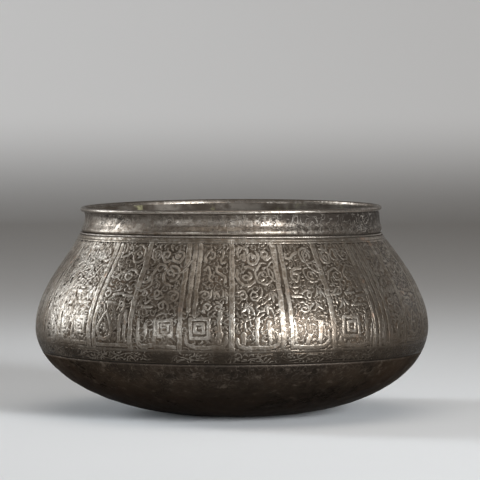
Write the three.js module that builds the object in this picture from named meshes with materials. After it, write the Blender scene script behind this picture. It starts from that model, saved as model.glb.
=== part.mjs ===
// An engraved, tinned copper bowl with a round belly, a sloping shoulder, a short waisted neck and a wired lip.
// Every piece is a shell or a ring turned about the bowl's upright axis. Millimetres, +Z up, and the origin
// is at the middle of the flat that the bowl stands on.
import * as THREE from 'three';

// Driving dimensions of the outside
const footRadius = 21; // flat that the bowl stands on
const bellyRadius = 118; // widest circle
const bellyHeight = 52.4; // height of the widest circle
const bellyRise = 20.4; // how far the wall climbs before the shoulder leans in
const shoulderReach = 21.5; // length of the nearly straight run under the neck seam
const shoulderLean = THREE.MathUtils.degToRad(33); // that run's lean from upright
const neckSeamRadius = 90.4; // top edge of the shoulder
const neckSeamHeight = 108;
const waistStep = 2.1; // how far the neck's waist lies inside the shoulder's top edge
const waistRise = 7.3; // height of the waist above the shoulder's top edge
const waistEase = 1.7; // how far under its waist the neck is upright already
const lipRise = 16.8; // height of the lip's top above the shoulder's top edge

// Metal
const wall = 1.4; // raised copper sheet of the lower bowl and the shoulder
const collarSheet = 0.7; // thinner sheet of the neck
const rimWireRadius = 0.5; // iron wire inside the rolled lip
const lipSlit = 0.35; // open slit under the roll, where the sheet's edge ends
const mouldingRadius = 0.8; // wire that covers the neck seam
const mouldingWrap = THREE.MathUtils.degToRad(78); // how far round the wire's back the neck lies
const flare = 2.9; // how far the neck then holds its outward heading

// Seams and fits
const girthSeamHeight = 37.6; // outside joint of the lower bowl and the shoulder
const girthLap = 8; // how far the lower bowl reaches up inside the shoulder
const girthJoggle = 3; // length over which the lower bowl's edge is set inwards
const neckLap = 6; // how far the neck reaches down inside the shoulder
const girthFillet = 1.3; // leg of the solder run inside the girth seam
const neckFillet = 0.9; // leg of the solder run inside the neck seam
const lapGap = 0.3; // between the two sheets of a lap
const seat = 0.2; // between a wire, a solder run or a filling and what it lies on

// Engraved bands of the shoulder, measured along its outer face
const footMargin = 1.2; // plain metal under the border
const borderWidth = 6.4;
const bandMargin = 1.3; // plain line between the border and the main field
const topMargin = 3.2; // plain metal over the main field
const cutDepth = 0.7; // depth of the cut ground
const fillingSink = 0.15; // how far the black filling lies under the metal's face
const filletHollow = 1 / 3; // how hollow the face of a solder run is, as a share of its leg

// How finely the round forms are cut into flat faces
const turns = 48;
const wireFaces = 8;
const rollStep = THREE.MathUtils.degToRad(30);
const fineFacet = 5; // length of a face along the outline where pieces lap
const coarseFacet = 10; // and where nothing touches
const wrapFaces = 3; // faces of the neck round the moulding's back
const flareFaces = 5; // and from there to the waist
const halvings = 40; // steps that find a height on the outline

// The outer face's outline as radius and height, from the edge of the flat up to the neck seam
const lowerCurve = new THREE.EllipseCurve(
  footRadius, bellyHeight, bellyRadius - footRadius, bellyHeight, -Math.PI / 2, 0,
);
const shoulderCurve = new THREE.CubicBezierCurve(
  new THREE.Vector2(bellyRadius, bellyHeight),
  new THREE.Vector2(bellyRadius, bellyHeight + bellyRise),
  new THREE.Vector2(
    neckSeamRadius + shoulderReach * Math.sin(shoulderLean),
    neckSeamHeight - shoulderReach * Math.cos(shoulderLean),
  ),
  new THREE.Vector2(neckSeamRadius, neckSeamHeight),
);
const outline = new THREE.CurvePath();
outline.add(lowerCurve);
outline.add(shoulderCurve);
const outlineLength = outline.getLength();

// How far along the outline a height is reached. The outline climbs all the way, so halving finds it.
function alongAtHeight(height) {
  let low = 0;
  let high = 1;
  for (let i = 0; i < halvings; i += 1) {
    const middle = (low + high) / 2;
    if (outline.getPoint(middle).y < height) low = middle;
    else high = middle;
  }
  return low * outlineLength;
}

// The point beside a curve, set in from its outer face by an inset.
function beside(curve, share, inset) {
  const point = curve.getPoint(share);
  const tangent = curve.getTangent(share);
  return new THREE.Vector2(point.x - tangent.y * inset, point.y + tangent.x * inset);
}

function insetPoint(along, inset) {
  return beside(outline, THREE.MathUtils.clamp(along / outlineLength, 0, 1), inset);
}

// Points along the outline at one inset. All pieces share the stations between, so lapped faces lie parallel.
function insetRun(from, to, inset, facet = fineFacet) {
  const low = Math.min(from, to);
  const high = Math.max(from, to);
  const places = [low];
  for (let i = Math.ceil(low / facet + 0.1); i * facet < high - 0.1 * facet; i += 1) places.push(i * facet);
  places.push(high);
  if (from > to) places.reverse();
  return places.map((along) => insetPoint(along, inset));
}

// Evenly spaced points beside a curve, from its start to its end.
function besideRun(curve, inset, steps) {
  return Array.from({ length: steps + 1 }, (_, i) => beside(curve, i / steps, inset));
}

// Turns a closed outline about the upright axis, with its faces outwards whichever way the outline runs.
// An outline that starts and ends on the axis closes by itself.
function turned(name, points, material) {
  const ordered = THREE.ShapeUtils.isClockWise(points) ? points.toReversed() : points;
  const onAxis = points[0].x === 0;
  const profile = onAxis ? ordered : [...ordered, ordered[0]];
  const mesh = new THREE.Mesh(new THREE.LatheGeometry(profile, turns).rotateX(Math.PI / 2), material);
  mesh.name = name;
  return mesh;
}

// A ring of round wire.
function wireRing(name, centre, wireRadius, material) {
  const section = Array.from({ length: wireFaces }, (_, i) => {
    const angle = (2 * Math.PI * (i + 0.5)) / wireFaces;
    return new THREE.Vector2(Math.cos(angle), Math.sin(angle)).multiplyScalar(wireRadius).add(centre);
  });
  return turned(name, section, material);
}

// Materials
const tinnedCopper = new THREE.MeshStandardMaterial({ color: 0x8f8378, roughness: 0.42, metalness: 1 });
const brownedCopper = new THREE.MeshStandardMaterial({ color: 0x4a3b2f, roughness: 0.48, metalness: 1 });
const blackComposition = new THREE.MeshStandardMaterial({ color: 0x241d17, roughness: 0.85, metalness: 0 });
const softSolder = new THREE.MeshStandardMaterial({ color: 0x86837d, roughness: 0.5, metalness: 1 });
const ironWire = new THREE.MeshStandardMaterial({ color: 0x3d3835, roughness: 0.7, metalness: 1 });

// The lower bowl is a raised copper dish. Its edge is set inwards, to lap inside the shoulder.
const girthSeam = alongAtHeight(girthSeamHeight);
const tongueEnd = girthSeam + girthLap;
const tongueInset = wall + lapGap;
const lowerBowl = turned('lower_bowl', [
  new THREE.Vector2(0, 0),
  ...insetRun(0, girthSeam, 0, coarseFacet),
  ...insetRun(girthSeam, tongueEnd, tongueInset),
  ...insetRun(tongueEnd, girthSeam, tongueInset + wall),
  ...insetRun(girthSeam - girthJoggle, 0, wall, coarseFacet),
  new THREE.Vector2(0, wall),
], brownedCopper);

// The shoulder is a raised copper ring, with the ground of two engraved bands cut down into its outer face.
const shoulderFoot = girthSeam + lapGap;
const shoulderTop = outlineLength;
const borderStart = shoulderFoot + footMargin;
const borderEnd = borderStart + borderWidth;
const fieldStart = borderEnd + bandMargin;
const fieldEnd = shoulderTop - topMargin;
const shoulderWall = turned('shoulder_wall', [
  insetPoint(shoulderFoot, 0),
  insetPoint(borderStart, 0),
  ...insetRun(borderStart, borderEnd, cutDepth),
  insetPoint(borderEnd, 0),
  insetPoint(fieldStart, 0),
  ...insetRun(fieldStart, fieldEnd, cutDepth),
  insetPoint(fieldEnd, 0),
  insetPoint(shoulderTop, 0),
  ...insetRun(shoulderTop, shoulderFoot, wall),
], tinnedCopper);

// The black filling of an engraved band lies on the cut ground, a little under the metal's face.
function bandFilling(name, start, end) {
  return turned(name, [
    ...insetRun(start + seat, end - seat, fillingSink),
    ...insetRun(end - seat, start + seat, cutDepth - seat),
  ], blackComposition);
}
const borderFilling = bandFilling('border_filling', borderStart, borderEnd);
const fieldFilling = bandFilling('field_filling', fieldStart, fieldEnd);

// The moulding is a wire in the corner of the neck and the shoulder's top edge, where it covers the seam.
const neckStart = insetPoint(shoulderTop, tongueInset);
const seamWay = outline.getTangent(1);
const seamOut = new THREE.Vector2(seamWay.y, -seamWay.x);
const mouldingSeat = mouldingRadius + seat;
const mouldingCentre = seamWay.clone().add(seamOut).multiplyScalar(mouldingSeat).add(neckStart);
const neckMoulding = wireRing('neck_moulding', mouldingCentre, mouldingRadius, tinnedCopper);

// The neck starts as a lap inside the shoulder and lies round the moulding's back. It flares over the moulding,
// draws in to its waist and climbs straight to the rolled lip.
const neckFoot = shoulderTop - neckLap;
const wrapStart = seamOut.angle() + Math.PI;
const wrap = new THREE.EllipseCurve(
  mouldingCentre.x, mouldingCentre.y, mouldingSeat, mouldingSeat, wrapStart, wrapStart - mouldingWrap, true,
);
const flareStart = wrap.getPoint(1);
const waist = new THREE.Vector2(neckSeamRadius - waistStep, neckSeamHeight + waistRise);
const neckCurve = new THREE.CubicBezierCurve(
  flareStart,
  flareStart.clone().addScaledVector(wrap.getTangent(1), flare),
  waist.clone().setY(waist.y - waistEase),
  waist,
);
const rollInside = rimWireRadius + seat;
const rollOutside = rollInside + collarSheet;
const lipTop = neckSeamHeight + lipRise;
const lipCentre = new THREE.Vector2(waist.x + rollInside, lipTop - rollOutside * Math.cos(rollStep / 2));

// The roll goes over the wire and ends in a slit beside the sheet, under the wire.
const rollEnd = -Math.PI / 2 - Math.asin((rollInside - lipSlit) / rollOutside);
const rollAngles = [];
for (let angle = Math.PI - rollStep / 2; angle > rollEnd; angle -= rollStep) rollAngles.push(angle);
rollAngles.push(rollEnd);
function rollArc(radius) {
  return rollAngles.map((angle) => (
    new THREE.Vector2(Math.cos(angle), Math.sin(angle)).multiplyScalar(radius).add(lipCentre)
  ));
}
const neckCollar = turned('neck_collar', [
  ...insetRun(neckFoot, shoulderTop, tongueInset),
  ...besideRun(wrap, 0, wrapFaces),
  ...besideRun(neckCurve, 0, flareFaces).slice(1),
  new THREE.Vector2(waist.x, lipCentre.y),
  ...rollArc(rollInside),
  ...rollArc(rollOutside).reverse(),
  new THREE.Vector2(waist.x - collarSheet, lipCentre.y),
  ...besideRun(neckCurve, collarSheet, flareFaces).reverse(),
  ...besideRun(wrap, collarSheet, wrapFaces).reverse().slice(1),
  ...insetRun(shoulderTop, neckFoot, tongueInset + collarSheet),
], tinnedCopper);

// The iron wire that stiffens the lip lies inside the roll.
const rimWire = wireRing('rim_wire', lipCentre, rimWireRadius, ironWire);

// A run of solder in the corner between a sheet's edge and the shoulder's inner face, up or down from the edge.
function solderRun(name, edge, upwards, leg) {
  const inset = wall + seat;
  return turned(name, [
    insetPoint(edge + upwards * seat, inset),
    insetPoint(edge + upwards * seat, inset + leg),
    insetPoint(edge + upwards * (seat + leg * filletHollow), inset + leg * filletHollow),
    insetPoint(edge + upwards * (seat + leg), inset),
  ], softSolder);
}
const girthSolder = solderRun('girth_solder', tongueEnd, 1, girthFillet);
const neckSolder = solderRun('neck_solder', neckFoot, -1, neckFillet);

const bowl = new THREE.Group();
bowl.add(
  lowerBowl, shoulderWall, fieldFilling, borderFilling, neckCollar,
  rimWire, neckMoulding, girthSolder, neckSolder,
);

export default bowl;
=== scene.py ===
import math

import bpy
import numpy as np
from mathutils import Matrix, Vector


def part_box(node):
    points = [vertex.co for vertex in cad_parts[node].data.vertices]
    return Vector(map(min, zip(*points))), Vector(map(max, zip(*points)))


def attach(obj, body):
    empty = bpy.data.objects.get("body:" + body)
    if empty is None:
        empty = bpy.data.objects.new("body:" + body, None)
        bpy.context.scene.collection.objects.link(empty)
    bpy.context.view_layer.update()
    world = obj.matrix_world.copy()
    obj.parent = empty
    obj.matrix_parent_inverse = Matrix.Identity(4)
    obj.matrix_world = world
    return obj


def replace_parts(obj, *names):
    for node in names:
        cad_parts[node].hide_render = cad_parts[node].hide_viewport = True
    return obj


# The finish of an engraved, tinned copper bowl. Arrays hold millimetres, and meshes hold metres.
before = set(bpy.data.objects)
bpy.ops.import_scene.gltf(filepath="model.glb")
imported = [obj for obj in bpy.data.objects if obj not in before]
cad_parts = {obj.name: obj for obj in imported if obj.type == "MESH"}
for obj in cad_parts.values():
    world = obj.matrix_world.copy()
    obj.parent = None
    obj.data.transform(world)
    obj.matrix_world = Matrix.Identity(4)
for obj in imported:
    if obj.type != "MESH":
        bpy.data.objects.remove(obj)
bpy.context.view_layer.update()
MM = 0.001

# Camera
# A long lens, a little higher than the rim, looks slightly down on the bowl from the front.
# The rows and columns are those of a picture of 480 by 480 pixels.
picture_size = 480
axis_column = 232
horizon_row = 67.4
focal_pixels = 3600
pixel_on_axis = 0.602  # how much of the bowl one pixel shows at its axis
camera_height = 208

lens = bpy.data.cameras.new("long_lens")
lens.sensor_width = 36
lens.lens = lens.sensor_width * focal_pixels / picture_size
camera = bpy.data.objects.new("camera", lens)
bpy.context.scene.collection.objects.link(camera)
camera.location = (
    (picture_size / 2 - axis_column) * pixel_on_axis * MM,
    -focal_pixels * pixel_on_axis * MM,
    camera_height * MM,
)
camera.rotation_euler = (math.pi / 2 - math.atan((picture_size / 2 - horizon_row) / focal_pixels), 0, 0)
bpy.context.scene.camera = camera

# Lower bowl
# The underside is one raised copper dish, hammered round and browned with age. Its edge is set inwards,
# laps inside the shoulder and is soldered there.
foot_radius = 21
belly_radius = 118
belly_height = 52.4
belly_rise = 20.4
shoulder_reach = 21.5
shoulder_lean = math.radians(33)
neck_seam_radius = 90.4
neck_seam_height = 108
lip_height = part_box("neck_collar")[1].z / MM
wall = 1.4
lap_gap = 0.3
girth_seam_height = 37.6
girth_lap = 8
girth_joggle = 3
edge_round = 0.2  # how far a sheet's edges are rounded
dish_columns = 720
dish_rows = 96
dent_depth = 0.11
dent_width = 13
seam_fullness = 0.6  # how far the bowl bulges at the neck's seam, and next on the shoulder's right side
right_fullness = 0.8
seam_lift = 1.4  # how much higher the seam is in front and behind, and next how much less the lip is
lip_drop = 0.65
seam_lean = 0.3  # how far the seam is low on the right, and next how far the lip is high there
lip_lean = 0.8
foot_shift = 2.0  # how far the underside lies off the axis, and next the neck, the other way
neck_shift = 0.6


def bezier(corners, t):
    """Points of the cubic Bezier curve (1-t)^3 P0 + 3(1-t)^2 t P1 + 3(1-t) t^2 P2 + t^3 P3."""
    return np.array(corners).T @ np.stack([(1 - t) ** 3, 3 * (1 - t) ** 2 * t, 3 * (1 - t) * t**2, t**3])


def line_length(radius, height):
    """The length of a line up to each of its points."""
    return np.concatenate([[0], np.cumsum(np.hypot(np.diff(radius), np.diff(height)))])


def line_normal(radius, height, length):
    """The two parts of a line's outward normal, which is its direction turned by a quarter."""
    outwards, upwards = np.gradient(radius, length), np.gradient(height, length)
    size = np.hypot(outwards, upwards)
    return upwards / size, -outwards / size


def outline_table():
    """The outside's outline, from the edge of the flat up to the neck seam: a quarter of an ellipse, and
    then a Bezier curve. Gives the length so far, the radius, the height and the two parts of the normal."""
    turn = np.linspace(-math.pi / 2, 0, 3000)
    low = np.stack([
        foot_radius + (belly_radius - foot_radius) * np.cos(turn),
        belly_height * (1 + np.sin(turn)),
    ])
    shoulder = bezier([
        (belly_radius, belly_height),
        (belly_radius, belly_height + belly_rise),
        (neck_seam_radius + shoulder_reach * math.sin(shoulder_lean),
         neck_seam_height - shoulder_reach * math.cos(shoulder_lean)),
        (neck_seam_radius, neck_seam_height),
    ], np.linspace(0, 1, 3000)[1:])
    radius, height = np.hstack([low, shoulder])
    length = line_length(radius, height)
    return length, radius, height, *line_normal(radius, height, length)


outline = outline_table()
outline_length = outline[0][-1]


def on_outline(along, inset):
    """Radius and height at a length along the outline, set in from the outside by an inset."""
    radius, height, normal_out, normal_up = (np.interp(along, outline[0], part) for part in outline[1:])
    return radius - normal_out * inset, height - normal_up * inset


def smooth(low, high, value):
    """0 up to low, 1 from high, and 3t^2 - 2t^3 between."""
    t = np.clip((value - low) / (high - low), 0, 1)
    return t * t * (3 - 2 * t)


def by_hand(radius, turn, height):
    """Places x, y, z of points at a radius, a turn and a height, with the faults of hand work. The radius
    gains two and three slow waves round the bowl, a little at the neck's seam and a little on the
    shoulder's right side. The seam and the lip rise with the square of the turn's sine, so they are higher
    in front and behind, and they lean a little sideways. The underside and the neck lie off the axis."""
    radius = radius + radius / belly_radius * (0.3 * np.cos(2 * turn + 0.5) + 0.2 * np.cos(3 * turn + 1.9))
    radius = radius + seam_fullness * smooth(97, 107, height) * (1 - smooth(109, 121, height))
    full = smooth(70, 90, height) * (1 - smooth(97, 106, height)) * smooth(0, 1, np.cos(turn))
    radius = radius + right_fullness * full
    at_seam = smooth(84, neck_seam_height, height)
    at_lip = smooth(neck_seam_height, lip_height, height)
    lift = (seam_lift * at_seam - lip_drop * at_lip) * np.sin(turn) ** 2
    lift = lift + (lip_lean * at_lip - seam_lean * at_seam) * np.cos(turn)
    shift = foot_shift * (1 - smooth(0, 45, height)) - neck_shift * smooth(100, 112, height)
    return np.stack([
        radius * np.cos(turn) + shift,
        radius * np.sin(turn),
        np.maximum(height + lift, 0),
    ], axis=-1)


def ripples(turn, along, width, seed):
    """Smooth unevenness, mostly between -1 and 1: 18 waves of one width and random headings, added up, with
    a whole number of waves round the bowl."""
    rng = np.random.default_rng(seed)
    total = 0
    for heading, start in zip(rng.uniform(0, math.pi, 18), rng.uniform(0, 2 * math.pi, 18)):
        waves = round(2 * math.pi * belly_radius / width * math.cos(heading))
        total = total + np.cos(waves * turn + 2 * math.pi / width * math.sin(heading) * along + start)
    return total / 6


def ring_turns(columns):
    """The turns of a ring's columns of vertices, in one row."""
    return np.linspace(0, 2 * math.pi, columns, endpoint=False)[None, :]


def ring_faces(rows, columns, closed_rows=True, closed_columns=True):
    """Four-sided faces of a grid of vertices, which joins up with itself over its rows, its columns or
    both. Rows that climb the outside give faces that point outwards."""
    row = np.arange(rows if closed_rows else rows - 1)[:, None]
    column = np.arange(columns if closed_columns else columns - 1)[None, :]
    next_row = (row + 1) % rows
    next_column = (column + 1) % columns
    corners = (
        row * columns + column, row * columns + next_column,
        next_row * columns + next_column, next_row * columns + column,
    )
    return np.stack(corners, axis=-1).reshape(-1, 4)


def new_piece(name, places, faces, finishes, worn_by=None):
    """A piece from places in millimetres and arrays of faces with like numbers of corners. worn_by gives
    each face the place of its finish in the list."""
    mesh = bpy.data.meshes.new(name)
    places = places.reshape(-1, 3) * MM
    corners = np.concatenate([group.ravel() for group in faces]).astype(np.int32)
    sides = np.concatenate([np.full(len(group), group.shape[1]) for group in faces])
    mesh.vertices.add(len(places))
    mesh.vertices.foreach_set("co", places.astype(np.float32).ravel())
    mesh.loops.add(len(corners))
    mesh.loops.foreach_set("vertex_index", corners)
    mesh.polygons.add(len(sides))
    mesh.polygons.foreach_set("loop_start", (np.cumsum(sides) - sides).astype(np.int32))
    for finish in finishes:
        mesh.materials.append(finish.material)
    if worn_by is not None:
        mesh.polygons.foreach_set("material_index", worn_by.astype(np.int32))
    mesh.update(calc_edges=True)
    mesh.validate()
    mesh.shade_smooth()
    piece = bpy.data.objects.new(name, mesh)
    bpy.context.scene.collection.objects.link(piece)
    return piece


def new_ring(name, radius, turn, height, finishes, worn_by=None):
    """A closed ring from the radius and height of its rows of vertices, with the faults of hand work."""
    grid = by_hand(radius, turn, height)
    return new_piece(name, grid, [ring_faces(*grid.shape[:2])], finishes, worn_by)


def set_values(piece, name, values):
    """Stores a number for each vertex, which the piece's finish reads by name."""
    stored = piece.data.attributes.new(name, "FLOAT", "POINT")
    stored.data.foreach_set("value", values.astype(np.float32).ravel())


def add(tree, kind, inputs=None, **properties):
    """Adds a node with its properties. An input takes a value or the output of another node."""
    node = tree.nodes.new(kind)
    for name, value in properties.items():
        setattr(node, name, value)
    for name, value in (inputs or {}).items():
        if isinstance(value, bpy.types.NodeSocket):
            tree.links.new(value, node.inputs[name])
        else:
            node.inputs[name].default_value = value
    return node


def new_group(name, takes, gives):
    """An empty node group. takes and gives hold a value or a colour for each socket's name."""
    group = bpy.data.node_groups.new(name, "ShaderNodeTree")
    for side, sockets in (("INPUT", takes), ("OUTPUT", gives)):
        for label, value in sockets.items():
            kind = "NodeSocketFloat" if isinstance(value, (int, float)) else "NodeSocketColor"
            group.interface.new_socket(name=label, in_out=side, socket_type=kind).default_value = value
    return group, group.nodes.new("NodeGroupInput").outputs, group.nodes.new("NodeGroupOutput").inputs


def sums(tree, operation, first, second=0.0, clamp=False):
    """One step of arithmetic on one or two values or outputs."""
    return add(tree, "ShaderNodeMath", {0: first, 1: second}, operation=operation, use_clamp=clamp).outputs[0]


def soft_step(tree, value, low, high, at_low=0.0, at_high=1.0):
    """at_low up to a low value, at_high from a high one, and a smooth change between them."""
    return add(tree, "ShaderNodeMapRange", {
        "Value": value, "From Min": low, "From Max": high, "To Min": at_low, "To Max": at_high,
    }, interpolation_type="SMOOTHSTEP").outputs[0]


def cloud(group, takes, detail, roughness, distortion):
    """A cloudy noise of a group's fineness, moved aside by its shift."""
    spot = add(group, "ShaderNodeTexCoord").outputs["Object"]
    moved = add(group, "ShaderNodeVectorMath", {0: spot, 1: takes["Shift"]}, operation="ADD").outputs[0]
    return add(group, "ShaderNodeTexNoise", {
        "Vector": moved, "Scale": takes["Fineness"], "Detail": detail, "Roughness": roughness,
        "Distortion": distortion,
    }).outputs[0]


# Patches: a mask of ragged patches of a given fineness, which covers more the lower its edge is set.
patches, takes, gives = new_group(
    "patches", {"Fineness": 60.0, "Edge": 0.5, "Softness": 0.1, "Shift": 0.0}, {"Mask": 0.0},
)
low = sums(patches, "SUBTRACT", takes["Edge"], takes["Softness"])
high = sums(patches, "ADD", takes["Edge"], takes["Softness"])
patches.links.new(soft_step(patches, cloud(patches, takes, 7.0, 0.62, 0.3), low, high), gives["Mask"])

# Traces: thin curling lines where a cloud crosses its middle value, like engraving nearly worn away.
traces, takes, gives = new_group("traces", {"Fineness": 150.0, "Width": 0.02, "Shift": 0.0}, {"Mask": 0.0})
off_middle = sums(traces, "ABSOLUTE", sums(traces, "SUBTRACT", cloud(traces, takes, 1.5, 0.4, 1.2), 0.5))
traces.links.new(soft_step(traces, off_middle, 0.0, takes["Width"], 1.0, 0.0), gives["Mask"])

# Height mask: 1 up to a low height of the bowl and 0 from a high one, with a ragged change between them.
below, takes, gives = new_group("below", {"Low": 0.04, "High": 0.05, "Ragged": 0.003}, {"Mask": 0.0})
spot = add(below, "ShaderNodeTexCoord").outputs["Object"]
noise = add(below, "ShaderNodeTexNoise", {"Vector": spot, "Scale": 130.0, "Detail": 5.0}).outputs[0]
ragged = sums(below, "MULTIPLY", sums(below, "SUBTRACT", noise, 0.5), takes["Ragged"])
level = sums(below, "ADD", add(below, "ShaderNodeSeparateXYZ", {0: spot}).outputs["Z"], ragged)
below.links.new(soft_step(below, level, takes["Low"], takes["High"], 1.0, 0.0), gives["Mask"])

# Tool marks: fine pits and crossing scratches as a height, for a bump.
tool_marks, takes, gives = new_group(
    "tool_marks", {"Pits": 1.0, "Scratches": 1.0}, {"Height": 0.0, "Fine": 0.0},
)
spot = add(tool_marks, "ShaderNodeTexCoord").outputs["Object"]
grain = add(tool_marks, "ShaderNodeTexNoise", {
    "Vector": spot, "Scale": 1400.0, "Detail": 4.0, "Roughness": 0.6,
}).outputs[0]
tool_marks.links.new(grain, gives["Fine"])
marks = sums(tool_marks, "MULTIPLY", grain, takes["Pits"])
for angles, stretch in (((0.3, 0.2, 0.5), (60, 900, 1500)), ((-0.4, 0.5, -0.9), (1300, 50, 1100))):
    turned_spot = add(tool_marks, "ShaderNodeMapping", {
        "Vector": spot, "Rotation": angles, "Scale": stretch,
    }).outputs[0]
    streak = add(tool_marks, "ShaderNodeTexNoise", {"Vector": turned_spot, "Scale": 1.0, "Detail": 2.0})
    line = add(tool_marks, "ShaderNodeMapRange", {
        "Value": streak.outputs[0], "From Min": 0.62, "From Max": 0.7,
    }).outputs[0]
    marks = sums(tool_marks, "SUBTRACT", marks, sums(tool_marks, "MULTIPLY", line, takes["Scratches"]))
tool_marks.links.new(marks, gives["Height"])


class Finish:
    """A material while it is made up: a ground colour with coats of other colours over it, each laid on by
    a share that changes over the surface. What is the same all over is set on the shader itself. A rim
    under 1 dims how dirty metal shines where it is seen edge-on, and a glint under 0.5 how its dirt does."""

    def __init__(self, name, ground, rim=1.0, metallic=1.0, glint=0.5):
        self.material = bpy.data.materials.new(name)
        self.material.use_nodes = True
        self.tree = self.material.node_tree
        self.shader = self.tree.nodes["Principled BSDF"].inputs
        self.shader["Metallic"].default_value = metallic
        self.shader["Specular Tint"].default_value = (rim, rim, rim, 1)
        self.shader["Specular IOR Level"].default_value = glint
        self.shader["Base Color"].default_value = self.colour = (*ground, 1)

    def placed(self, group, **values):
        """The outputs of a node group, placed here with its own values."""
        return add(self.tree, "ShaderNodeGroup", values, node_tree=group).outputs

    def patches(self, fineness, edge, softness, shift):
        return self.placed(patches, Fineness=fineness, Edge=edge, Softness=softness, Shift=shift)[0]

    def traces(self, fineness, width, shift):
        return self.placed(traces, Fineness=fineness, Width=width, Shift=shift)[0]

    def below(self, low, high, ragged):
        return self.placed(below, Low=low, High=high, Ragged=ragged)[0]

    def stored(self, name):
        """The numbers that a piece stores under a name."""
        return add(self.tree, "ShaderNodeAttribute", attribute_name=name).outputs["Fac"]

    def product(self, first, *others):
        """The first output times all the others."""
        for other in others:
            first = sums(self.tree, "MULTIPLY", first, other)
        return first

    def total(self, start, *parts, clamp=False):
        """The start with each part's output, times its weight, added to it."""
        for output, weight in parts:
            start = sums(self.tree, "ADD", start, self.product(output, weight), clamp)
        return start

    def coat(self, colour, *shares):
        """Lays a coat over the last one by the product of its shares."""
        mix = {0: self.product(*shares), 6: self.colour, 7: (*colour, 1)}
        self.colour = add(self.tree, "ShaderNodeMix", mix, data_type="RGBA").outputs[2]
        self.tree.links.new(self.colour, self.shader["Base Color"])

    def vary(self, name, start, *parts):
        """Feeds a total to the shader."""
        self.tree.links.new(self.total(start, *parts), self.shader[name])

    def mark(self, pits, scratches, deep):
        """Feeds tool marks to the shader's normal, deep in metres, and gives their fine grain."""
        marks = self.placed(tool_marks, Pits=pits, Scratches=scratches)
        bump = add(self.tree, "ShaderNodeBump", {"Height": marks["Height"], "Distance": deep}).outputs[0]
        self.tree.links.new(bump, self.shader["Normal"])
        return marks["Fine"]


# Browned copper: dark brown, with redder clouds and greyer rubbed spots, and painted shade that darkens it
# towards the bottom. Worn traces of engraving show under the seam, and the dish's upper edge is rubbed
# bright.
copper = Finish("browned_copper", (0.024, 0.019, 0.015), rim=0.35)
grain = copper.mark(1.0, 0.5, 0.00006)
clouds = copper.patches(38.0, 0.52, 0.16, 3.1)
mottle = copper.patches(260.0, 0.52, 0.14, 4.6)
rubbed = copper.patches(170.0, 0.63, 0.06, 7.7)
old_lines = copper.traces(190.0, 0.035, 2.4)
under_lines = copper.below(0.017, 0.034, 0.012)
under_edge = copper.below(0.0362, 0.0372, 0.0006)
# Painted shade: darker towards the bottom, where the underside turns away from the lamps.
bottom_shade = copper.below(0.008, 0.030, 0.010)
copper.coat((0.050, 0.0355, 0.0255), clouds)
copper.coat((0.0688, 0.0525, 0.04), mottle, 0.45)
copper.coat((0.15, 0.119, 0.0938), rubbed, 0.6)
copper.coat((0.0338, 0.0269, 0.0219), bottom_shade, 0.6)
copper.coat((0.138, 0.112, 0.0875), old_lines, copper.total(0.5, (under_lines, -0.5)))
copper.coat((0.125, 0.101, 0.0825), copper.total(0.25, (under_edge, -0.25)))
copper.vary("Roughness", 0.36, (grain, 0.3))

# Old inside: tin gone brown, with yellow-green stains of corroded copper, most of them near the lip.
inside = Finish("old_inside", (0.135, 0.115, 0.096), rim=0.7)
inside.mark(1.2, 0.8, 0.00005)
browning = inside.patches(45.0, 0.5, 0.12, 1.3)
specks = inside.patches(420.0, 0.62, 0.05, 2.2)
deep_down = inside.below(0.08, 0.105, 0.02)
stains = inside.product(inside.patches(75.0, 0.62, 0.06, 5.9), inside.total(1.0, (deep_down, -0.8)))
inside.coat((0.075, 0.058, 0.045), browning)
inside.coat((0.05, 0.04, 0.0312), specks, 0.6)
inside.coat((0.225, 0.206, 0.112), stains, 0.75)
inside.vary("Roughness", 0.72, (browning, 0.15))
inside.vary("Metallic", 1.0, (stains, -0.5))

girth_seam = np.interp(girth_seam_height, outline[2], outline[0])
tongue_end = girth_seam + girth_lap
tongue_inset = wall + lap_gap
dish_profile = np.vstack([
    np.stack([np.linspace(0, girth_seam - edge_round, dish_rows), np.zeros(dish_rows)], axis=-1),
    [
        (girth_seam, edge_round),
        (girth_seam, tongue_inset - edge_round),
        (girth_seam + edge_round, tongue_inset),
        (girth_seam + girth_lap / 2, tongue_inset),
        (tongue_end - edge_round, tongue_inset),
        (tongue_end, tongue_inset + edge_round),
        (tongue_end, tongue_inset + wall - edge_round),
        (tongue_end - edge_round, tongue_inset + wall),
        (girth_seam + girth_lap / 2, tongue_inset + wall),
        (girth_seam, tongue_inset + wall),
        (girth_seam - girth_joggle, wall),
    ],
    np.stack([np.linspace(girth_seam - 2 * girth_joggle, 0, 24), np.full(24, wall)], axis=-1),
])
past_tongue = dish_rows + 6  # the first row that lies inside the bowl
turn = ring_turns(dish_columns)
along, inset = dish_profile[:, :1], dish_profile[:, 1:]
hammered = dent_depth * ripples(turn, along, dent_width, 11) * smooth(0, 12, along)
radius, height = on_outline(along, inset + hammered)
dish_grid = by_hand(radius, turn, height)
rows = len(dish_profile)
centres = np.array([(*dish_grid[0, :, :2].mean(axis=0), 0), (*dish_grid[-1, :, :2].mean(axis=0), wall)])
column = np.arange(dish_columns)
next_column = (column + 1) % dish_columns
middle = np.full(dish_columns, rows * dish_columns)
under = np.stack([middle, next_column, column], axis=-1)
last = (rows - 1) * dish_columns
within = np.stack([middle + 1, last + column, last + next_column], axis=-1)
dish_faces = ring_faces(rows, dish_columns, closed_rows=False)
face_row = np.concatenate([np.repeat(np.arange(rows - 1), dish_columns), np.zeros(dish_columns),
                           np.full(dish_columns, rows)])
dish = new_piece(
    "hammered_dish", np.vstack([dish_grid.reshape(-1, 3), centres]), [dish_faces, under, within],
    [copper, inside], face_row >= past_tongue,
)
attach(dish, "root")
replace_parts(dish, "lower_bowl")

# Girth solder
# A run of tin solder lies inside, in the corner over the dish's set-in edge. It was wiped by hand, so its
# face is uneven.
solder_gap = 0.2
girth_leg = 1.3
solder_columns = 480

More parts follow.
